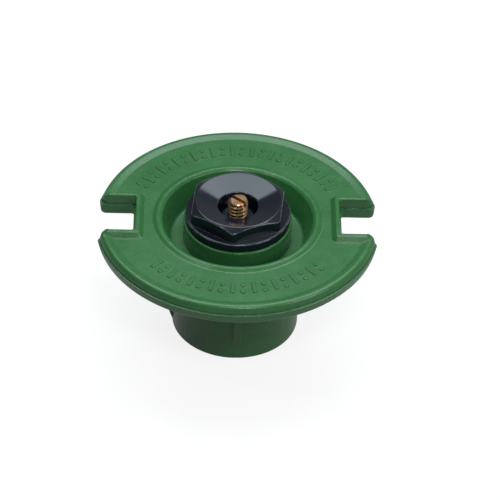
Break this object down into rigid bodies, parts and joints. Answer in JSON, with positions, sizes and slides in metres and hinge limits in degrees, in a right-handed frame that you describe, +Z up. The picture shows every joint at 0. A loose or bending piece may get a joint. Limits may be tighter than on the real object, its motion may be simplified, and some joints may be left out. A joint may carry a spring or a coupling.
{
  "type": "pop-up lawn sprinkler",
  "caption": "Flush lawn sprinkler: a notched green flange and threaded inlet body with a spring-return pop-up riser, a hex nozzle and a brass adjusting screw.",
  "frame": {"origin": "centre of the inlet face, at the bottom of the threaded boss", "axes": "+Z up along the riser axis, out of the nozzle; the two spanner notches lie on the X axis; +Y completes the frame"},
  "size_m": [0.0682, 0.07, 0.0382],
  "materials": {
    "green_abs": "satin moulded ABS, fine texture",
    "black_acetal": "glossy moulded acetal, blue-black",
    "riser_acetal": "satin moulded acetal",
    "brass": "machined brass, slightly tarnished in the thread roots",
    "seal_rubber": "EPDM rubber",
    "spring_steel": "drawn stainless wire",
    "screen_plastic": "natural polyethylene",
    "plug_acetal": "natural acetal"
  },
  "bodies": {
    "housing": {"sprinkler_body": "green_abs", "guide_bushing": "green_abs", "bushing_o_ring": "seal_rubber", "wiper_seal": "seal_rubber", "retract_spring": "spring_steel"},
    "popup": {"riser": "riser_acetal", "lift_seal": "seal_rubber", "nozzle_gasket": "seal_rubber", "nozzle": "black_acetal", "filter_screen": "screen_plastic"},
    "throttle": {"throttle_plug": "plug_acetal"},
    "screw": {"adjusting_screw": "brass"}
  },
  "joints": [
    {"name": "riser_lift", "type": "slide", "parent": "housing", "child": "popup", "axis": [0, 0, 1], "range_m": [0, 0.0094], "stiffness_N_per_m": 50, "springref_m": -0.0175, "deforming": ["retract_spring"]},
    {"name": "adjust_travel", "type": "slide", "parent": "popup", "child": "throttle", "axis": [0, 0, 1], "range_m": [-0.00317, 0.0021]},
    {"name": "adjust_turn", "type": "hinge", "parent": "throttle", "child": "screw", "pos_m": [0, 0, 0.032], "axis": [0, 0, 1], "range_deg": [-1080, 720]}
  ],
  "couplings": [
    {"joint": "adjust_turn", "follows": "adjust_travel", "rad_per_m": 5937}
  ]
}
